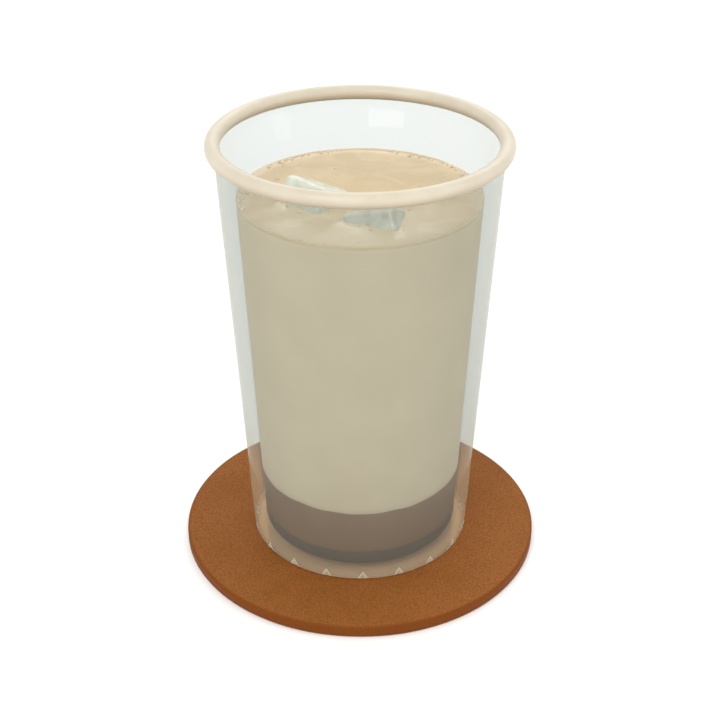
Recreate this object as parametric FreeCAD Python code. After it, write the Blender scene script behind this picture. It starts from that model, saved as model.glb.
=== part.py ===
# Iced mocha in a beaded tumbler, standing on a round leather coaster.
# Millimetres. The origin is the centre of the coaster's underside, +Z is up and -Y is the front.
# The pieces are the coaster, the tumbler, its lip bead, three layers of drink and two ice cubes.
import FreeCAD, Part
import math
import os

# Coaster: a flat leather disc with eased edges.
COASTER_R = 55.0
COASTER_T = 3.8
COASTER_EASE = 0.9

# Tumbler: a straight taper outside, and a bore whose shoulder lies a flare's height below the lip.
# FLARE_HOLD is the share of the flare's height over which each end keeps the wall's own slope.
GLASS_H = 126.6
BASE_R = 33.44
LIP_R = 40.55
FLOOR_T = 2.68
WALL_AT_FLOOR = 4.1
WALL_AT_SHOULDER = 4.95
FLARE_H = 13.6
FLARE_HOLD = 0.42
LIP_WALL = 1.35
HEEL_ROUND = 1.2
BORE_CORNER = 2.0
FOOT_W = 6.4
PUNT_DEPTH = 0.8

# V-shaped cuts round the heel, widest at the foot and running out to a point.
NOTCH_COUNT = 19
NOTCH_START = 1.5
NOTCH_W = 3.0
NOTCH_H = 2.7
NOTCH_DEPTH = 0.9

# Bead round the lip: its centre line lies just outside the wall, at the height of the lip's edge.
BEAD_R = 2.22
BEAD_OUTSET = 0.15

# Drink: two dark layers on the floor of the glass, then milk coffee up to a headspace below the lip.
SYRUP_T = 5.14
COFFEE_T = 14.63
HEADSPACE = 16.2

# Ice: equal cubes that float tilted, each turned about Z, then tipped about X, then rolled about Y.
ICE_SIDE = 15.8
ICE_ROUND = 1.6
ICE_WALL_GAP = 3.1
ICE_GAP = 6.5
FRONT_ICE_BEARING = -72.2
FRONT_ICE_SINK = 5.6
FRONT_ICE_TILT = (-24.0, -33.2, -22.2)
BACK_ICE_BEARING = 143.7
BACK_ICE_SINK = 2.9
BACK_ICE_TILT = (46.0, 0.0, 25.6)

# Levels that follow from them, taken like every height in this file from the coaster's top.
SHOULDER_H = GLASS_H - FLARE_H
SYRUP_LEVEL = FLOOR_T + SYRUP_T
COFFEE_LEVEL = SYRUP_LEVEL + COFFEE_T
DRINK_LEVEL = GLASS_H - HEADSPACE

X_AXIS = FreeCAD.Vector(1, 0, 0)
Y_AXIS = FreeCAD.Vector(0, 1, 0)
Z_AXIS = FreeCAD.Vector(0, 0, 1)
CENTRE = FreeCAD.Vector(0, 0, 0)


def section_point(radius, height):
    """A point of a turned section, at a height above the coaster's top."""
    return FreeCAD.Vector(radius, 0, COASTER_T + height)


def turned(section):
    """A solid of revolution about Z from the right half of its section."""
    return section.revolve(CENTRE, Z_AXIS, 360)


def line(start, end):
    return Part.LineSegment(start, end).toShape()


def corner_arc(before, corner, after, radius):
    """The arc that rounds a corner, and its two ends."""
    back = (before - corner).normalize()
    ahead = (after - corner).normalize()
    half = back.getAngle(ahead) / 2
    start = corner + back * (radius / math.tan(half))
    end = corner + ahead * (radius / math.tan(half))
    bisector = (back + ahead).normalize()
    middle = corner + bisector * (radius / math.sin(half) - radius)
    return start, Part.Arc(start, middle, end).toShape(), end


def outer_radius(height):
    return BASE_R + (LIP_R - BASE_R) * height / GLASS_H


def bore_radius(height):
    """Radius of the bore on its straight taper, between the floor and the shoulder."""
    wall_growth = (WALL_AT_SHOULDER - WALL_AT_FLOOR) / (SHOULDER_H - FLOOR_T)
    return outer_radius(height) - WALL_AT_FLOOR - wall_growth * (height - FLOOR_T)


def bore_outline(top):
    """Edges of the bore from the middle of its floor, round the corner and up the wall to a height."""
    floor_middle = section_point(0, FLOOR_T)
    corner = section_point(bore_radius(FLOOR_T), FLOOR_T)
    wall_top = section_point(bore_radius(top), top)
    start, arc, end = corner_arc(floor_middle, corner, wall_top, BORE_CORNER)
    return [line(floor_middle, start), arc, line(end, wall_top)]


def coaster():
    disc = Part.makeCylinder(COASTER_R, COASTER_T)
    rims = [edge for edge in disc.Edges if edge.Curve.TypeId == "Part::GeomCircle"]
    return disc.makeFillet(COASTER_EASE, rims)


def heel_notch():
    """A four-sided wedge whose inner edge climbs from inside the foot out to the wall's face.

    It starts below the foot and ends above the notch's tip, clear of the wall, so that only its V cuts.
    """
    foot = FreeCAD.Vector(BASE_R - NOTCH_DEPTH, 0, COASTER_T)
    tip = section_point(outer_radius(NOTCH_H), NOTCH_H)
    climb = tip - foot
    low = foot - climb * 0.25
    high = foot + climb * 2
    spread = NOTCH_W / (2 * NOTCH_DEPTH)
    reach = 3 * NOTCH_DEPTH
    left, right = [low + FreeCAD.Vector(reach, side * reach * spread, 0) for side in (-1, 1)]
    faces = [Part.Face(Part.makePolygon(loop + loop[:1]))
             for loop in ([low, left, right], [low, left, high], [low, right, high], [left, right, high])]
    return Part.makeSolid(Part.makeShell(faces))


def flare(shoulder, lip_inner):
    """Inside of the lip: it leaves the bore and meets the lip's edge in line with the wall."""
    rise = FLARE_H * FLARE_HOLD
    lean = FreeCAD.Vector((LIP_R - BASE_R) / GLASS_H, 0, 1) * rise
    curve = Part.BezierCurve()
    curve.setPoles([shoulder, shoulder + lean, lip_inner - lean, lip_inner])
    return curve.toShape()


def wall_section():
    """Right half of the tumbler's section: punt, rounded heel, tapered wall, thin lip and bore."""
    foot = section_point(BASE_R, 0)
    lip_outer = section_point(LIP_R, GLASS_H)
    lip_inner = section_point(LIP_R - LIP_WALL, GLASS_H)
    shoulder = section_point(bore_radius(SHOULDER_H), SHOULDER_H)
    punt_r = BASE_R - FOOT_W
    punt_edge = section_point(punt_r, 0)
    punt_side = section_point(punt_r / 2, PUNT_DEPTH * 3 / 4)
    punt_top = section_point(0, PUNT_DEPTH)
    heel_start, heel, heel_end = corner_arc(punt_edge, foot, lip_outer, HEEL_ROUND)
    underside = Part.Arc(punt_top, punt_side, punt_edge).toShape()
    outline = [underside, line(punt_edge, heel_start), heel, line(heel_end, lip_outer),
               line(lip_outer, lip_inner), flare(shoulder, lip_inner)]
    outline += bore_outline(SHOULDER_H)
    outline.append(line(section_point(0, FLOOR_T), punt_top))
    return Part.Face(Part.Wire(Part.__sortEdges__(outline)))


def tumbler():
    """Pressed glass turned from its section, with the heel's notches cut out of it."""
    first = heel_notch()
    notches = []
    for index in range(NOTCH_COUNT):
        cutter = first.copy()
        cutter.rotate(CENTRE, Z_AXIS, NOTCH_START - 90 + index * 360 / NOTCH_COUNT)
        notches.append(cutter)
    return turned(wall_section()).cut(notches)


def lip_bead():
    """Ivory glass laid round the lip: the lip's edge stands inside the bead."""
    middle = section_point(LIP_R + BEAD_OUTSET, GLASS_H)
    round_section = Part.Face(Part.Wire(Part.Circle(middle, Y_AXIS, BEAD_R).toShape()))
    return turned(round_section.cut(wall_section()))


def drink_layer(low, high):
    """The drink between two levels, as wide as the bore."""
    surface = section_point(bore_radius(high), high)
    middle = section_point(0, high)
    outline = bore_outline(high) + [line(surface, middle), line(middle, section_point(0, FLOOR_T))]
    fill = turned(Part.Face(Part.Wire(outline)))
    if low <= FLOOR_T:
        return fill
    below = Part.makeCylinder(2 * LIP_R, COASTER_T + low)
    return fill.cut(below)


def ice_cube(centre, tilt):
    """A rounded cube of ice turned about Z, X and Y in that order."""
    corner = FreeCAD.Vector(1, 1, 1) * (-ICE_SIDE / 2)
    cube = Part.makeBox(ICE_SIDE, ICE_SIDE, ICE_SIDE, corner)
    cube = cube.makeFillet(ICE_ROUND, cube.Edges)
    turn, tip, roll = tilt
    rotation = FreeCAD.Rotation(Z_AXIS, turn) * FreeCAD.Rotation(X_AXIS, tip) * FreeCAD.Rotation(Y_AXIS, roll)
    cube.Placement = FreeCAD.Placement(centre, rotation)
    return cube


def polar(radius, bearing):
    angle = math.radians(bearing)
    return FreeCAD.Vector(radius * math.cos(angle), radius * math.sin(angle), 0)


def ice():
    """Two cubes: one near the front wall, the other set off from it by a gap."""
    reach = ICE_SIDE * math.sqrt(3) / 2
    surface = section_point(0, DRINK_LEVEL)
    front = surface + polar(bore_radius(DRINK_LEVEL) - reach - ICE_WALL_GAP, FRONT_ICE_BEARING)
    back = front + polar(ICE_SIDE + ICE_GAP, BACK_ICE_BEARING)
    front_cube = ice_cube(front - Z_AXIS * FRONT_ICE_SINK, FRONT_ICE_TILT)
    back_cube = ice_cube(back - Z_AXIS * BACK_ICE_SINK, BACK_ICE_TILT)
    return front_cube, back_cube


def build():
    front_cube, back_cube = ice()
    return {
        "coaster": coaster(),
        "glass": tumbler(),
        "lip_bead": lip_bead(),
        "chocolate_syrup": drink_layer(FLOOR_T, SYRUP_LEVEL),
        "dark_coffee": drink_layer(SYRUP_LEVEL, COFFEE_LEVEL),
        "milk_coffee": drink_layer(COFFEE_LEVEL, DRINK_LEVEL).cut([front_cube, back_cube]),
        "ice_front": front_cube,
        "ice_back": back_cube,
    }


os.makedirs("parts", exist_ok=True)
for node, shape in build().items():
    solids = shape.Solids
    if len(solids) != 1 or not shape.isValid():
        raise RuntimeError(f"{node}: {len(solids)} solids, valid {shape.isValid()}")
    solids[0].exportStep(f"parts/{node}.step")
    box = shape.optimalBoundingBox()
    print(f"{node:16s} volume {solids[0].Volume / 1000:8.2f} cm3, "
          f"z {box.ZMin:7.2f} to {box.ZMax:7.2f}, width {box.XLength:7.2f}")
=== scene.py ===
# Iced mocha in a tall beaded glass, standing on a leather coaster.
# Metres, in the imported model's frame: +Z is up, the front is -Y, and the origin is the centre of
# the coaster's underside. The sections follow the drink as it is put together.
import math
import random
import bpy
import bmesh
import numpy as np
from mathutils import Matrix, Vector, noise
from mathutils.bvhtree import BVHTree


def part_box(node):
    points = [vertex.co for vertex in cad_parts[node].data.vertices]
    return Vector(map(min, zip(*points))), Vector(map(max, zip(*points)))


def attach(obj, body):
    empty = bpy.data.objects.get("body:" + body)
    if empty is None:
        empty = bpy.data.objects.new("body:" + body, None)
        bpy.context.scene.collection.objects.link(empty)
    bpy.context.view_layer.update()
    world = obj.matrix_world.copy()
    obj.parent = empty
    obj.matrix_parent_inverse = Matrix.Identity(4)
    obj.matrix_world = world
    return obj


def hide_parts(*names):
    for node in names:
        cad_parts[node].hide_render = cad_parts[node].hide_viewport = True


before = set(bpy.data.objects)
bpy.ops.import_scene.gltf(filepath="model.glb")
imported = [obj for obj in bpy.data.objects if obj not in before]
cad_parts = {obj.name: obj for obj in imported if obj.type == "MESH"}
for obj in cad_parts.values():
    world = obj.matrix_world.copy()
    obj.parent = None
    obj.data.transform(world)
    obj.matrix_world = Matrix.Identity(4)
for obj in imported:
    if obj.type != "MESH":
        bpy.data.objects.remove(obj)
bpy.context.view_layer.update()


# --- Camera --------------------------------------------------------------------------------------
# It stands straight in front of the glass, at a seated person's eye height, and looks down on it
# by 30 degrees.
LOOKS_DOWN = math.radians(30.13)
LOOKS_AT = Vector((0, 0, 0.0608))
STANDS_OFF = 0.4184
LENS = 69.6


def linked(name, data):
    """A new object with this data, in the scene."""
    made = bpy.data.objects.new(name, data)
    bpy.context.scene.collection.objects.link(made)
    return made


camera = linked("seated_eye", bpy.data.cameras.new("seated_eye"))
camera.data.lens = LENS
camera.location = LOOKS_AT + STANDS_OFF * Vector((0, -math.cos(LOOKS_DOWN), math.sin(LOOKS_DOWN)))
camera.rotation_euler = (math.pi / 2 - LOOKS_DOWN, 0, 0)
bpy.context.scene.camera = camera


# --- Table and light -----------------------------------------------------------------------------
# A white seamless table top under a white tent: a large soft window high in front on the left, a
# weaker one on the right, and a wide strip behind that picks out the edges of the glass. Meshes
# are in metres, and the places and heights in a material are in millimetres.
MM = 0.001
WHITE = (1.0, 1.0, 1.0, 1.0)
TENT_WHITE = (1.0, 0.995, 0.98, 1.0)
TABLE_HALF = 40.0
PAPER_GLOW = 0.12
CREASE = math.radians(50)


def srgb(red, green, blue):
    """The colour that a screen shows for these values from 0 to 255, as a shader takes it."""
    return tuple(((v / 255 + 0.055) / 1.055) ** 2.4 for v in (red, green, blue)) + (1.0,)


class Shade:
    """A value, colour or shader in a material's tree, and the way to make the next one.

    Arithmetic on it adds Math nodes, and node() adds a node of any other kind.
    """

    def __init__(self, tree, socket=None):
        self.tree = tree
        self.socket = socket

    def node(self, kind, settings=None, sockets=None, output=0):
        made = self.tree.nodes.new("ShaderNode" + kind)
        for name, value in (settings or {}).items():
            setattr(made, name, value)
        for name, value in (sockets or {}).items():
            if isinstance(value, Shade):
                self.tree.links.new(value.socket, made.inputs[name])
            else:
                made.inputs[name].default_value = value
        return Shade(self.tree, made.outputs[output])

    def maths(self, operation, *values):
        return self.node("Math", {"operation": operation}, dict(enumerate(values)))

    def __add__(self, other):
        return self.maths("ADD", self, other)

    def __sub__(self, other):
        return self.maths("SUBTRACT", self, other)

    def __rsub__(self, other):
        return self.maths("SUBTRACT", other, self)

    def __mul__(self, other):
        return self.maths("MULTIPLY", self, other)

    def __truediv__(self, other):
        return self.maths("DIVIDE", self, other)

    def __pow__(self, other):
        return self.maths("POWER", self, other)

    __radd__ = __add__
    __rmul__ = __mul__

    def rise(self, low, high):
        """0 where this value is at low or beyond, 1 where it is at high, smooth between."""
        settings = {"interpolation_type": "SMOOTHSTEP"}
        return self.node("MapRange", settings, {"Value": self, "From Min": low, "From Max": high})

    def blend(self, first, second):
        """The first colour where this value is 0, the second where it is 1."""
        return self.node("Mix", {"data_type": "RGBA"}, {0: self, 6: first, 7: second}, 2)

    def layer(self, below, above):
        """The shader below where this value is 0, the one above where it is 1."""
        return self.node("MixShader", None, {0: self, 1: below, 2: above})


def new_finish(name):
    """An empty material, and the Shade that its nodes are made from."""
    finish = bpy.data.materials.new(name)
    finish.use_nodes = True
    finish.node_tree.nodes.clear()
    return finish, Shade(finish.node_tree)


def finished(finish, shader):
    """Ends the finish's tree with a shader."""
    output = finish.node_tree.nodes.new("ShaderNodeOutputMaterial")
    finish.node_tree.links.new(shader.socket, output.inputs["Surface"])


def coat(piece, finish, shader):
    """Ends the finish's tree with a shader, and gives the piece that finish alone."""
    finished(finish, shader)
    piece.data.materials.clear()
    piece.data.materials.append(finish)


def in_mm(start):
    """The point that is shaded, in millimetres."""
    place = start.node("TexCoord", output="Object")
    return start.node("VectorMath", {"operation": "SCALE"}, {0: place, "Scale": 1 / MM})


def cloud(start, place, scale, detail=3.0, roughness=0.5):
    """Soft noise from 0 to 1, with about `scale` lumps to the millimetre."""
    return start.node("TexNoise", None, {"Vector": place, "Scale": scale, "Detail": detail,
                                         "Roughness": roughness})


def creased(mesh):
    """Shades the mesh smooth, but for creases where its faces turn by more than CREASE."""
    mesh.shade_smooth()
    mesh.set_sharp_from_angle(angle=CREASE)


def solid_from(name, points, faces):
    """A smooth-shaded object of these points and faces."""
    mesh = bpy.data.meshes.new(name)
    mesh.from_pydata(points, [], faces)
    creased(mesh)
    return linked(name, mesh)


corners = [(x * TABLE_HALF, y * TABLE_HALF, 0) for x, y in ((-1, -1), (1, -1), (1, 1), (-1, 1))]
table = solid_from("table", corners, [(0, 1, 2, 3)])
paper, start = new_finish("white paper")
tooth = cloud(start, in_mm(start), 0.6)
coat(table, paper, start.node("BsdfPrincipled", None, {
    "Base Color": tooth.blend(srgb(238, 238, 237), srgb(242, 242, 241)),
    "Roughness": 0.9,
    "Specular IOR Level": 0.1,
    "Emission Color": WHITE,
    "Emission Strength": PAPER_GLOW,
    "Normal": start.node("Bump", None, {"Strength": 0.1, "Distance": 0.05 * MM, "Height": tooth})}))

tent = bpy.data.worlds.new("white tent")
tent.use_nodes = True
tent.node_tree.nodes["Background"].inputs["Color"].default_value = TENT_WHITE
tent.node_tree.nodes["Background"].inputs["Strength"].default_value = 1.0
bpy.context.scene.world = tent
bpy.context.scene.view_settings.view_transform = "Standard"


def window(name, place, width, height, power, tint):
    """A soft rectangular light, sized in metres, that faces the middle of the glass."""
    light = bpy.data.lights.new(name, "AREA")
    light.shape = "RECTANGLE"
    light.size = width
    light.size_y = height
    light.energy = power
    light.color = tint
    lamp = linked(name, light)
    lamp.location = place
    lamp.rotation_euler = (LOOKS_AT - Vector(place)).to_track_quat("-Z", "Y").to_euler()


window("left_window", (-0.42, -0.92, 0.95), 0.70, 0.70, 6.0, (1.0, 0.985, 0.96))
window("right_window", (0.95, -0.25, 0.60), 0.30, 0.80, 1.6, (1.0, 0.99, 0.98))
window("back_strip", (0.20, 1.00, 0.85), 1.00, 0.35, 3.0, (0.98, 0.99, 1.0))


# --- Coaster -------------------------------------------------------------------------------------
# A die-cut round of saddle-brown leather nearly 4 mm thick, its grain side up, its edge eased and
# burnished darker. Nothing fixes it: the glass just stands on it. The hide under the glass's foot
# is painted paler, as painted light for the light that the thick foot gathers.
AROUND = 288
EASE = 0.9 * MM
EASE_STEPS = 8
FACE_RINGS = 12
HAND_CUT = 0.12 * MM
CLEAR_OF_FOOT = 0.03 * MM
# Radius of the painted light on the hide under the glass's foot.
PAINTED_LIGHT_UNDER_FOOT_R = 32.4


def turned_mesh(outline, uneven=None, around=AROUND, closed=False):
    """Points and faces of an outline of (radius, height) turned about Z.

    An end on the axis becomes one point there. A closed outline's last point joins its first.
    uneven takes arrays of angle, radius and height, and gives the radius and height to use.
    """
    rings = [point for point in outline if point[0] > 0]
    theta = np.tile(np.arange(around) * 2 * math.pi / around, len(rings))
    radius = np.repeat([point[0] for point in rings], around)
    height = np.repeat([point[1] for point in rings], around)
    if uneven:
        radius, height = uneven(theta, radius, height)
    points = np.stack([radius * np.cos(theta), radius * np.sin(theta), height], 1).tolist()
    faces = []
    for ring in range(len(rings) if closed else len(rings) - 1):
        low = ring * around
        high = (ring + 1) % len(rings) * around
        for i in range(around):
            j = (i + 1) % around
            faces.append((low + i, low + j, high + j, high + i))
    if outline[0][0] == 0:
        points.append((0.0, 0.0, outline[0][1]))
        faces += [((i + 1) % around, i, len(points) - 1) for i in range(around)]
    if outline[-1][0] == 0:
        last = (len(rings) - 1) * around
        points.append((0.0, 0.0, outline[-1][1]))
        faces += [(last + i, last + (i + 1) % around, len(points) - 1) for i in range(around)]
    return points, faces


def arc(centre, radius, first, last, steps):
    """Points (radius, height) along an arc between two angles in degrees."""
    turns = [math.radians(first + (last - first) * i / steps) for i in range(steps + 1)]
    return [(centre[0] + radius * math.cos(t), centre[1] + radius * math.sin(t)) for t in turns]


def waver(theta, seed, cycles):
    """An uneven value between -1 and 1 that closes on itself round the axis."""
    chance = random.Random(seed)
    return sum(np.sin(theta * k + chance.uniform(0, 2 * math.pi)) for k in cycles) / len(cycles)


def from_z_axis(start, place):
    """How far a place is from the Z axis."""
    across = start.node("VectorMath", {"operation": "MULTIPLY"}, {0: place, 1: (1, 1, 0)})
    return start.node("VectorMath", {"operation": "LENGTH"}, {0: across}, "Value")


# The leather stops just under the glass's foot, so that no two faces share a place.
coaster_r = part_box("coaster")[1].x
coaster_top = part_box("coaster")[1].z - CLEAR_OF_FOOT


def die_cut(theta, radius, height):
    """Draws the edge in a little, unevenly, for turned_mesh."""
    share = np.clip(radius / coaster_r, 0, 1) ** 6
    return radius - HAND_CUT * share * (1 + waver(theta, 3, (3, 5, 8, 13))) / 2, height


face_rings = [coaster_r * k / FACE_RINGS for k in range(1, FACE_RINGS)]
edge = arc((coaster_r - EASE, EASE), EASE, -90, 0, EASE_STEPS)
edge += arc((coaster_r - EASE, coaster_top - EASE), EASE, 0, 90, EASE_STEPS)
outline = [(0, 0)] + [(r, 0) for r in face_rings] + edge
outline += [(r, coaster_top) for r in reversed(face_rings)] + [(0, coaster_top)]
coaster = solid_from("coaster_leather", *turned_mesh(outline, die_cut))

leather, start = new_finish("saddle leather")
place = in_mm(start)
from_axis = from_z_axis(start, place)
mottle = cloud(start, place, 0.06, 4.0, 0.6)
fibre = cloud(start, place, 1.6, 4.0, 0.6)
wander = start.node("TexNoise", None, {"Vector": place, "Scale": 0.5}, "Color")
warped = start.node("Mix", {"data_type": "VECTOR"}, {0: 0.12, 4: place, 5: wander}, 1)
cells = start.node("TexVoronoi", {"feature": "DISTANCE_TO_EDGE"}, {"Vector": warped, "Scale": 1.15})
pebble = cells.rise(0.0, 0.22)
rim = from_axis.rise(coaster_r / MM - 1.2, coaster_r / MM - 0.2)
tan = mottle.rise(0.3, 0.7).blend(srgb(141, 87, 40), srgb(149, 93, 46))
tan = (fibre.rise(0.35, 0.8) * 0.3).blend(tan, srgb(160, 102, 52))
tan = ((1 - pebble) * 0.4).blend(tan, srgb(100, 55, 22))
tan = (rim * 0.8).blend(tan, srgb(110, 53, 4))
# Painted light: the hide under the glass's foot is painted a pale tan, for light that the foot gathers.
painted_light_under_foot = 1 - from_axis.rise(PAINTED_LIGHT_UNDER_FOOT_R - 0.8, PAINTED_LIGHT_UNDER_FOOT_R + 0.2)
tan = (painted_light_under_foot * 0.75).blend(tan, srgb(226, 176, 118))
hide = start.node("Bump", None, {"Strength": 0.45, "Distance": 0.12 * MM,
                                 "Height": pebble * 0.8 + fibre * 0.5 + mottle * 1.5})
coat(coaster, leather, start.node("BsdfPrincipled", None, {
    "Base Color": tan,
    "Roughness": 0.66 - pebble * 0.10 - rim * 0.14 + fibre * 0.08,
    "Specular IOR Level": 0.08,
    "Normal": hide}))
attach(coaster, "root")
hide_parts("coaster")


# --- Tumbler -------------------------------------------------------------------------------------
# Pressed soda-lime glass with a faint green-grey body, small V cuts ground round its heel, and a
# thick wall that thins to the lip. The bore is clean. The body's own tint and haze are all given
# to the outside, so that what stands in the glass keeps its place behind one veil.
BASE_R = 33.44
OUTER_SKIN = 0.6
HEEL_ROUND = 1.2
UNDERSIDE = 0.9
# Heights over the foot where the painted reflection of the coaster fades out.
COASTER_REFLECTION_UP_TO = (26, 42)
MIRROR_RISES = 60
OUTLINE_FACING = (0.61, 0.67)
CUT_COUNT = 19
CUT_START = math.radians(1.5 - 90)
CUT_W = 4.2
CUT_H = 3.5
BODY_TINT = srgb(242, 248, 249)
EDGE_TINT = srgb(228, 233, 230)
FRONT_VEIL = srgb(152, 147, 134)
EDGE_VEIL = srgb(172, 163, 150)
# Painted reflection: the leather coaster's warm colour, painted into the haze low on the glass.
COASTER_REFLECTION_VEIL = srgb(208, 181, 148)
# Painted light: a pale warm haze colour for the underside, for light that the thick foot gathers.
PAINTED_FOOT_LIGHT = srgb(255, 226, 198)
GROUND_CUT = srgb(206, 204, 184)

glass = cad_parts["glass"]
glass_low, glass_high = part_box("glass")
drink_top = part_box("milk_coffee")[1].z / MM
foot = glass_low.z / MM
bore_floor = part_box("chocolate_syrup")[0].z

pressed, start = new_finish("pressed glass")
place = in_mm(start)
split = [start.node("SeparateXYZ", None, {0: place}, way) for way in "XYZ"]
height = split[2]
from_axis = from_z_axis(start, place)
taper = (glass_high.x / MM - BASE_R) / (glass_high.z / MM - foot)
wall_face = (height - foot) * taper + BASE_R
outside = (from_axis - wall_face).rise(-OUTER_SKIN - 0.1, -OUTER_SKIN)
low = 1 - height.rise(foot + CUT_H, foot + CUT_H + 0.3)
heel = low * from_axis.rise(BASE_R - 1.0, BASE_R - 0.9)
at_heel = 1 - height.rise(foot + HEEL_ROUND, foot + HEEL_ROUND + 0.2)
outside = outside.maths("MAXIMUM", outside, at_heel)
dry = outside.maths("MAXIMUM", outside, height.rise(drink_top, drink_top + 0.8))

step = 2 * math.pi / CUT_COUNT
turn = (split[1].maths("ARCTAN2", split[1], split[0]) - CUT_START) / step
from_cut = turn.maths("ABSOLUTE", turn - turn.maths("ROUND", turn)) * (step * BASE_R)
cut_width = (1 - (height - foot) / CUT_H) * (CUT_W / 2)
cut = (cut_width - from_cut).rise(0.0, 0.12) * heel

facing = start.node("LayerWeight", None, {"Blend": 0.5}, "Facing")
mirror = (facing ** 7 * 0.50 + 0.012) * dry * (1 - cut) * height.rise(foot, foot + MIRROR_RISES)
beneath = 1 - height.rise(foot + UNDERSIDE, foot + UNDERSIDE + 0.2)
near_hide = 1 - height.rise(foot + COASTER_REFLECTION_UP_TO[0], foot + COASTER_REFLECTION_UP_TO[1])
haze = outside * (facing ** 4 * 0.12 + 0.30)
clear = start.node("BsdfTransparent", None, {"Color": WHITE})
tinted = start.node("BsdfTransparent", None, {"Color": BODY_TINT})
at_edge = start.node("BsdfTransparent", None, {"Color": EDGE_TINT})
milky = start.node("BsdfDiffuse", None, {"Color": FRONT_VEIL})
milky_edge = start.node("BsdfDiffuse", None, {"Color": EDGE_VEIL})
# Painted reflection of the coaster, for the glass's edges near it.
painted_coaster_reflection = start.node("BsdfDiffuse", None, {"Color": COASTER_REFLECTION_VEIL})
# Painted light for the underside of the foot.
foot_light_paint = start.node("BsdfDiffuse", None, {"Color": PAINTED_FOOT_LIGHT})
ground = start.node("BsdfDiffuse", None, {"Color": GROUND_CUT})
sheen = start.node("BsdfGlossy", None, {"Color": WHITE, "Roughness": 0.05})
body = outside.layer(clear, (facing ** 3).layer(tinted, at_edge))
# At the edges the haze is lighter, and low down it carries the painted reflection of the coaster.
veil = facing.rise(*OUTLINE_FACING).layer(milky, near_hide.layer(milky_edge, painted_coaster_reflection))
# Under the foot the haze is the pale painted light, elsewhere the glass's own veil.
body = haze.layer(body, beneath.layer(veil, foot_light_paint))
body = (cut * 0.85).layer(body, ground)
coat(glass, pressed, mirror.layer(body, sheen))
glass.visible_shadow = False


# --- Lip bead ------------------------------------------------------------------------------------
# A round bead of ivory glass, laid hot round the lip by hand, so that its thickness wanders a
# little. The thin lip stands in a groove in its underside.
BEAD_OUT = 0.15 * MM
GROOVE = (-1.35 * MM, -0.10 * MM)
HAND_LAID = 0.09 * MM
BEAD_AROUND = 384
BEAD_STEPS = 44

bead_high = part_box("lip_bead")[1]
lip_r = glass_high.x
lip_top = glass_high.z
bead_r = bead_high.z - lip_top
ring_r = lip_r + BEAD_OUT


def hand_laid(theta, radius, height):
    """Thins the bead a little, unevenly, but for its groove, for turned_mesh."""
    thinner = HAND_LAID * (1 + waver(theta, 11, (2, 3, 5, 9))) / 2 / bead_r
    in_groove = np.hypot(radius - ring_r, height - lip_top) < bead_r * 0.98
    share = np.where(in_groove, 0, thinner)
    return radius - (radius - ring_r) * share, height - (height - lip_top) * share


groove_in, groove_out = [lip_r + side for side in GROOVE]
first = -90 - math.degrees(math.asin((ring_r - groove_out) / bead_r))
last = 180 + math.degrees(math.acos((ring_r - groove_in) / bead_r))
outline = arc((ring_r, lip_top), bead_r, first, last, BEAD_STEPS)
outline += [(groove_in, lip_top), (groove_out, lip_top)]
bead = solid_from("ivory_lip_bead", *turned_mesh(outline, hand_laid, BEAD_AROUND, closed=True))

ivory, start = new_finish("ivory glass")
place = in_mm(start)
height = start.node("SeparateXYZ", None, {0: place}, "Z")
swirl = cloud(start, place, 0.09, 3.0, 0.55)
speck = cloud(start, place, 1.1, 2.0)
shade = swirl.rise(0.3, 0.7).blend(srgb(199, 189, 170), srgb(206, 197, 178))
# Painted shade: the lower side of the bead is painted darker and browner, for the shade under it.
shaded_underside = 1 - height.rise(lip_top / MM - 1.8, lip_top / MM + 0.9)
shade = (shaded_underside * 0.9).blend(shade, srgb(170, 152, 130))
shade = (speck.rise(0.62, 0.8) * 0.25).blend(shade, srgb(196, 182, 158))
lumps = start.node("Bump", None, {"Strength": 0.25, "Distance": 0.15 * MM,
                                  "Height": cloud(start, place, 0.35, 2.0) + speck * 0.12})
coat(bead, ivory, start.node("BsdfPrincipled", None, {
    "Base Color": shade,
    "Roughness": 0.34 + swirl * 0.10,
    "Specular IOR Level": 0.36,
    "Coat Weight": 0.08,
    "Coat Roughness": 0.12,
    "Normal": lumps}))
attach(bead, "root")
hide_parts("lip_bead")


# --- Chocolate syrup -----------------------------------------------------------------------------
# Thick chocolate sauce poured in first. It fills the rounded bottom of the bore, and its top edge
# creeps up and down a little where it meets the wall.
INTO_WALL = 0.2 * MM
BORE_CORNER = 2.0 * MM
CORNER_STEPS = 8
SYRUP_CREEP = 0.35 * MM
SYRUP_STEPS = 6
FLOOR_RINGS = 8
FLAT_RINGS = 10
SAME_LEVEL = 1e-6

syrup_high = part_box("chocolate_syrup")[1]
coffee_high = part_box("dark_coffee")[1]
milk_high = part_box("milk_coffee")[1]
bore_slope = (milk_high.x - coffee_high.x) / (milk_high.z - coffee_high.z)


def bore_radius(height):
    """How far a drink reaches at a height: the bore's radius there and a little of the wall."""
    return coffee_high.x + (height - coffee_high.z) * bore_slope + INTO_WALL


def wavering_line(level, depth, seed):
    """A function for turned_mesh that makes the rings at a level waver by a depth at the wall."""
    def uneven(theta, radius, height):
        at_level = np.abs(height - level) < SAME_LEVEL
        share = np.clip(radius / bore_radius(level), 0, 1) ** 2
        creep = depth * waver(theta, seed, (2, 3, 5, 8, 13, 21)) * share
        return radius + np.where(at_level, creep * bore_slope, 0), height + np.where(at_level, creep, 0)
    return uneven


def flat_rings(radius, height, steps=FLAT_RINGS):
    """Rings of a flat face, from its edge in to the axis."""
    return [(radius * (steps - k) / steps, height) for k in range(1, steps)] + [(0, height)]


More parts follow.
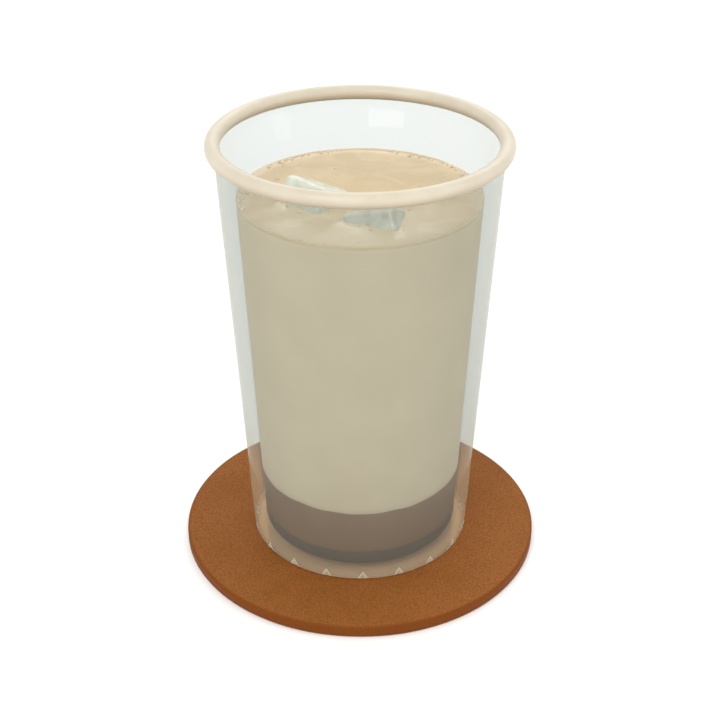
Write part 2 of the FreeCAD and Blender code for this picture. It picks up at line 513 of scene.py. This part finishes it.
floor_z = bore_floor - INTO_WALL
corner_at = (bore_radius(bore_floor) - BORE_CORNER, floor_z + BORE_CORNER)
wall = arc(corner_at, BORE_CORNER, -90, -3, CORNER_STEPS)
corner_top = wall[-1][1]
for k in range(1, SYRUP_STEPS + 1):
    z = corner_top + (syrup_high.z - corner_top) * k / SYRUP_STEPS
    wall.append((bore_radius(z), z))
outline = flat_rings(corner_at[0], floor_z, FLOOR_RINGS)[::-1] + wall
outline += flat_rings(bore_radius(syrup_high.z), syrup_high.z)
syrup_line = wavering_line(syrup_high.z, SYRUP_CREEP, 21)
syrup = solid_from("chocolate_syrup_layer", *turned_mesh(outline, syrup_line))

sauce, start = new_finish("chocolate sauce")
place = in_mm(start)
height = start.node("SeparateXYZ", None, {0: place}, "Z")
streak = cloud(start, place, 0.12, 3.0)
near_top = height.rise(syrup_high.z / MM - 1.2, syrup_high.z / MM + 0.2)
dark = streak.rise(0.3, 0.7).blend(srgb(65, 58, 54), srgb(71, 63, 58))
coat(syrup, sauce, start.node("BsdfPrincipled", None, {
    "Base Color": (near_top * 0.25).blend(dark, srgb(80, 58, 40)),
    "Roughness": 0.42 + streak * 0.1,
    "Specular IOR Level": 0.3,
    "Normal": start.node("Bump", None, {"Strength": 0.1, "Distance": 0.2 * MM, "Height": streak})}))
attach(syrup, "root")
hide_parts("chocolate_syrup")


# --- Dark coffee ---------------------------------------------------------------------------------
# Strong black coffee poured on the syrup. It lies between the syrup and the lighter milk coffee,
# and takes a little of each where they meet.
COFFEE_CREEP = 0.45 * MM
COFFEE_STEPS = 10


def layer_outline(bottom, top, wall_steps, top_rings=FLAT_RINGS):
    """An outline with a flat bottom, the bore's taper for its side, and a flat top."""
    side = [bottom + (top - bottom) * k / wall_steps for k in range(wall_steps + 1)]
    outline = flat_rings(bore_radius(bottom), bottom)[::-1]
    outline += [(bore_radius(z), z) for z in side]
    return outline + flat_rings(bore_radius(top), top, top_rings)


coffee_line = wavering_line(coffee_high.z, COFFEE_CREEP, 34)


def coffee_lines(theta, radius, height):
    """Makes the coffee's lower and upper line waver, for turned_mesh."""
    radius, height = syrup_line(theta, radius, height)
    return coffee_line(theta, radius, height)


outline = layer_outline(syrup_high.z, coffee_high.z, COFFEE_STEPS)
coffee = solid_from("dark_coffee_layer", *turned_mesh(outline, coffee_lines))

brew, start = new_finish("dark coffee")
place = in_mm(start)
height = start.node("SeparateXYZ", None, {0: place}, "Z")
drift = cloud(start, place, 0.10, 4.0)
near_syrup = 1 - height.rise(syrup_high.z / MM - 0.2, syrup_high.z / MM + 1.4)
near_milk = (height + drift * 2.0).rise(coffee_high.z / MM - 1.4, coffee_high.z / MM + 1.4)
brown = drift.rise(0.3, 0.7).blend(srgb(113, 83, 61), srgb(119, 89, 66))
brown = (near_syrup * 0.35).blend(brown, srgb(66, 47, 32))
brown = (near_milk * 0.25).blend(brown, srgb(150, 126, 100))
coat(coffee, brew, start.node("BsdfPrincipled", None, {
    "Base Color": brown,
    "Roughness": 0.45 + drift * 0.1,
    "Specular IOR Level": 0.25,
    "Normal": start.node("Bump", None, {"Strength": 0.1, "Distance": 0.2 * MM, "Height": drift})}))
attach(coffee, "root")
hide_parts("dark_coffee")


# --- Ice -----------------------------------------------------------------------------------------
# Two cubes from a tray float tilted, their upper corners above the drink. They have begun to
# melt: the edges are rounded, the faces are dished and wavy, and the heart is cloudy with air.
VOXEL = 0.42 * MM
SOFTEN_PASSES = 14
MELT = 0.22 * MM
MELTED_ALL_OVER = 0.9
HEART_SHARE = 0.62
HEART_LUMPS = 0.10


def settled_mesh(piece):
    """The piece's mesh with its modifiers carried out. The modifiers are taken off."""
    graph = bpy.context.evaluated_depsgraph_get()
    mesh = bpy.data.meshes.new_from_object(piece.evaluated_get(graph))
    piece.modifiers.clear()
    return mesh


def points_of(piece):
    """Arrays of the piece's points and of the directions in which they face outwards."""
    points = np.empty(len(piece.data.vertices) * 3, np.float32)
    normals = np.empty(len(piece.data.vertices) * 3, np.float32)
    piece.data.vertices.foreach_get("co", points)
    piece.data.vertices.foreach_get("normal", normals)
    return points.reshape(-1, 3), normals.reshape(-1, 3)


def melted(name, node, seed):
    """The cube of a node, softened and worn as if it had lain in the drink for a few minutes."""
    cube = linked(name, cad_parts[node].data.copy())
    voxels = cube.modifiers.new("voxels", "REMESH")
    voxels.mode = "VOXEL"
    voxels.voxel_size = VOXEL
    soften = cube.modifiers.new("soften", "SMOOTH")
    soften.factor = 0.5
    soften.iterations = SOFTEN_PASSES
    cube.data = settled_mesh(cube)
    low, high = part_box(node)
    middle = (low + high) / 2
    shift = Vector((seed * 7.3, seed * 3.1, seed * 5.7))
    points, normals = points_of(cube)
    for i, point in enumerate(points):
        spot = (Vector(point) - middle) / MM
        wave = noise.noise(spot * 0.16 + shift) + 0.45 * noise.noise(spot * 0.42 + shift)
        points[i] += normals[i] * MELT * (wave - MELTED_ALL_OVER)
    cube.data.vertices.foreach_set("co", points.ravel())
    cube.data.shade_smooth()
    return cube


def cloudy_heart(name, cube, node, seed):
    """The part of a cube where its air froze last: the cube's own shape, shrunk and lumpy."""
    heart = linked(name, cube.data.copy())
    low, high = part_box(node)
    middle = np.array((low + high) / 2)
    points, normals = points_of(heart)
    for i, point in enumerate(points):
        spot = Vector(point - middle) / MM * 0.32
        lump = noise.noise(spot + Vector((seed * 4.1, 0, seed * 2.3)))
        points[i] = middle + (point - middle) * (HEART_SHARE + HEART_LUMPS * lump)
    heart.data.vertices.foreach_set("co", points.ravel())
    heart.data.shade_smooth()
    return heart


def as_ice(piece, finish):
    """Gives a piece of ice its finish, and lets the light through it."""
    piece.visible_shadow = False
    piece.data.materials.clear()
    piece.data.materials.append(finish)
    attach(piece, "root")


frozen, start = new_finish("clear ice")
place = in_mm(start)
ripple = cloud(start, place, 0.22, 3.0)
pits = cloud(start, place, 1.4, 2.0)
wet = start.node("Bump", None, {"Strength": 0.35, "Distance": 0.25 * MM, "Height": ripple + pits * 0.15})
facing = start.node("LayerWeight", None, {"Blend": 0.5, "Normal": wet}, "Facing")
mirror = facing ** 5 * 0.7 + 0.035
bloom = ripple.rise(0.35, 0.65) * 0.18 + facing ** 2 * 0.26 + 0.44
clear = start.node("BsdfTransparent", None, {"Color": srgb(240, 248, 246)})
frost = start.node("BsdfDiffuse", None, {"Color": srgb(232, 238, 226), "Normal": wet})
sheen = start.node("BsdfGlossy", None, {"Color": WHITE, "Roughness": 0.06, "Normal": wet})
finished(frozen, mirror.layer(bloom.layer(clear, frost), sheen))

airy, start = new_finish("ice clouded with air")
facing = start.node("LayerWeight", None, {"Blend": 0.5}, "Facing")
puffs = cloud(start, in_mm(start), 0.45, 4.0, 0.6)
thick = (1 - facing) ** 1.4 * (puffs.rise(0.30, 0.70) * 0.40 + 0.36)
clear = start.node("BsdfTransparent", None, {"Color": WHITE})
white_air = start.node("BsdfDiffuse", None, {"Color": srgb(238, 243, 232)})
finished(airy, thick.layer(clear, white_air))

front_cube = melted("ice_cube_front", "ice_front", 1)
back_cube = melted("ice_cube_back", "ice_back", 2)
for cube, heart, node, seed in ((front_cube, "ice_heart_front", "ice_front", 1),
                                (back_cube, "ice_heart_back", "ice_back", 2)):
    as_ice(cube, frozen)
    as_ice(cloudy_heart(heart, cube, node, seed), airy)
    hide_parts(node)


# --- Milk coffee ---------------------------------------------------------------------------------
# Coffee and milk, poured over the ice last. It climbs the wall and the ice by a fraction of a
# millimetre, and its top carries faint pale swirls where the milk hasn't quite mixed in. Each
# cube sits in a pocket of it that is a little smaller than the cube.
WALL_CLIMB = 0.45 * MM
ICE_CLIMB = 0.45 * MM
CLIMB_REACH = 1.1 * MM
INTO_ICE = 0.12 * MM
RIPPLE = 0.10 * MM
MILK_STEPS = 40
TOP_RINGS = 64
SHORTEST_EDGE = 0.02 * MM


def tree_of(piece):
    """A search tree of the piece's faces."""
    return BVHTree.FromPolygons([vertex.co for vertex in piece.data.vertices],
                                [face.vertices for face in piece.data.polygons])


ice_trees = [tree_of(front_cube), tree_of(back_cube)]


def milk_lines(theta, radius, height):
    """Makes the milk's lower line waver and its top climb and ripple, for turned_mesh."""
    radius, height = coffee_line(theta, radius, height)
    at_top = np.abs(height - milk_high.z) < SAME_LEVEL
    edge_r = bore_radius(milk_high.z)
    climb = WALL_CLIMB * np.exp(-(edge_r - radius) / CLIMB_REACH)
    for i in np.nonzero(at_top)[0]:
        spot = Vector((radius[i] * math.cos(theta[i]), radius[i] * math.sin(theta[i]), height[i]))
        near = min(tree.find_nearest(spot)[3] for tree in ice_trees)
        climb[i] += ICE_CLIMB * math.exp(-near / CLIMB_REACH)
        climb[i] += RIPPLE * noise.noise(spot / MM * 0.12)
    return radius + np.where(at_top, climb * bore_slope, 0), height + np.where(at_top, climb, 0)


def in_order(parts, place):
    """Puts a mesh's points, edges or faces in the same order in every run."""
    for i, part in enumerate(sorted(parts, key=place)):
        part.index = i
    parts.sort()


def mended(mesh):
    """Joins points that the cuts left closer than the shortest edge, and drops faces folded flat."""
    work = bmesh.new()
    work.from_mesh(mesh)
    bmesh.ops.remove_doubles(work, verts=work.verts, dist=SHORTEST_EDGE)
    bmesh.ops.dissolve_degenerate(work, edges=work.edges, dist=SHORTEST_EDGE)
    bmesh.ops.triangulate(work, faces=[face for face in work.faces if len(face.verts) > 4])
    work.verts.index_update()
    twins = {}
    for face in work.faces:
        twins.setdefault(frozenset(corner.index for corner in face.verts), []).append(face)
    folded = [face for pair in twins.values() if len(pair) > 1 for face in pair]
    bmesh.ops.delete(work, geom=folded, context="FACES")
    in_order(work.verts, lambda corner: corner.co[:])
    in_order(work.edges, lambda edge: sorted(corner.index for corner in edge.verts))
    in_order(work.faces, lambda face: [corner.index for corner in face.verts])
    work.to_mesh(mesh)
    work.free()


outline = layer_outline(coffee_high.z, milk_high.z, MILK_STEPS, TOP_RINGS)
milk = solid_from("milk_coffee_layer", *turned_mesh(outline, milk_lines))
for cube in (front_cube, back_cube):
    core = linked("core", cube.data.copy())
    points, normals = points_of(core)
    core.data.vertices.foreach_set("co", (points - normals * INTO_ICE).ravel())
    pocket = milk.modifiers.new("pocket", "BOOLEAN")
    pocket.operation = "DIFFERENCE"
    pocket.solver = "EXACT"
    pocket.object = core
    milk.data = settled_mesh(milk)
    bpy.data.objects.remove(core)
mended(milk.data)
creased(milk.data)

latte, start = new_finish("milk coffee")
place = in_mm(start)
height = start.node("SeparateXYZ", None, {0: place}, "Z")
drift = cloud(start, place, 0.07, 4.0, 0.55)
swirl = start.node("TexNoise", None, {"Vector": place, "Scale": 0.09, "Detail": 3.0, "Distortion": 1.6})
top = height.rise(milk_high.z / MM - 0.6, milk_high.z / MM - 0.1)
near_coffee = 1 - (height - drift * 2.0).rise(coffee_high.z / MM - 1.6, coffee_high.z / MM + 1.2)
cream = drift.rise(0.3, 0.7).blend(srgb(206, 189, 160), srgb(211, 194, 165))
cream = (near_coffee * 0.3).blend(cream, srgb(150, 124, 98))
surface = swirl.rise(0.38, 0.66).blend(srgb(201, 180, 143), srgb(209, 188, 152))
coat(milk, latte, start.node("BsdfPrincipled", None, {
    "Base Color": top.blend(cream, surface),
    "Roughness": 0.60 - top * 0.42,
    "Specular IOR Level": 0.45,
    "Normal": start.node("Bump", None, {"Strength": 0.15, "Distance": 0.3 * MM, "Height": swirl})}))
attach(milk, "root")
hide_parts("milk_coffee")


# --- Bubbles -------------------------------------------------------------------------------------
# Fine bubbles left by pouring. They gather where the drink climbs the wall and the ice, and a few
# stray ones are left in the open.
BUBBLE_SIZES = (0.22 * MM, 0.62 * MM)
BUBBLE_AROUND = 14
WALL_BUBBLES = 190
WALL_CLUMPS = 9
ICE_BUBBLES = 60
STRAY_BUBBLES = 16
ICE_LINE = 0.3 * MM
ICE_SPREAD = 0.7 * MM
TOP_BAND = 1.2 * MM
DROP_FROM = 30 * MM

chance = random.Random(7)


def bubble_size(skew):
    """A chance size between the two in BUBBLE_SIZES. A higher skew gives more small ones."""
    return BUBBLE_SIZES[0] + (BUBBLE_SIZES[1] - BUBBLE_SIZES[0]) * chance.random() ** skew


def bubble_dome(radius):
    """Points and faces of one bubble: the part of a sphere above and a little below the drink."""
    outline = [(0, -0.45 * radius)] + arc((0, 0), radius, -27, 84, 7) + [(0, radius)]
    return turned_mesh(outline, around=BUBBLE_AROUND)


top_tree = tree_of(milk)
spots = []
clumps = [chance.uniform(0, 2 * math.pi) for _ in range(WALL_CLUMPS)]
for _ in range(WALL_BUBBLES):
    size = bubble_size(2.2)
    turn = chance.choice(clumps) + chance.gauss(0, 0.20)
    inset = size * chance.uniform(1.0, 2.6)
    r = bore_radius(milk_high.z) - INTO_WALL - inset
    spots.append((r * math.cos(turn), r * math.sin(turn), size))
edge_points = []
for cube in (front_cube, back_cube):
    cube_points = [vertex.co.copy() for vertex in cube.data.vertices]
    edge_points += [point for point in cube_points if abs(point.z - milk_high.z) < ICE_LINE]
for _ in range(ICE_BUBBLES):
    size = bubble_size(2.5)
    spot = chance.choice(edge_points)
    spots.append((spot.x + chance.gauss(0, ICE_SPREAD), spot.y + chance.gauss(0, ICE_SPREAD), size))
for _ in range(STRAY_BUBBLES):
    size = bubble_size(2)
    turn = chance.uniform(0, 2 * math.pi)
    r = bore_radius(milk_high.z) * math.sqrt(chance.random()) * 0.93
    spots.append((r * math.cos(turn), r * math.sin(turn), size))

points = []
faces = []
kept = []
for x, y, size in spots:
    landed = top_tree.ray_cast(Vector((x, y, milk_high.z + DROP_FROM)), Vector((0, 0, -1)))[0]
    if landed is None or abs(landed.z - milk_high.z) > TOP_BAND:
        continue
    if any(tree.find_nearest(landed)[3] < size * 0.9 for tree in ice_trees):
        continue
    if any(math.hypot(x - other[0], y - other[1]) < (size + other[2]) * 0.92 for other in kept):
        continue
    kept.append((x, y, size))
    dome_points, dome_faces = bubble_dome(size)
    base = len(points)
    points += [(px + x, py + y, pz + landed.z + 0.1 * size) for px, py, pz in dome_points]
    faces += [tuple(base + i for i in face) for face in dome_faces]
bubbles = solid_from("fine_bubbles", points, faces)

film, start = new_finish("bubble film")
place = in_mm(start)
tone = cloud(start, place, 0.8)
coat(bubbles, film, start.node("BsdfPrincipled", None, {
    "Base Color": tone.rise(0.3, 0.7).blend(srgb(208, 190, 160), srgb(222, 208, 184)),
    "Roughness": 0.12 + tone * 0.08,
    "Coat Weight": 0.4,
    "Coat Roughness": 0.05}))
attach(bubbles, "root")
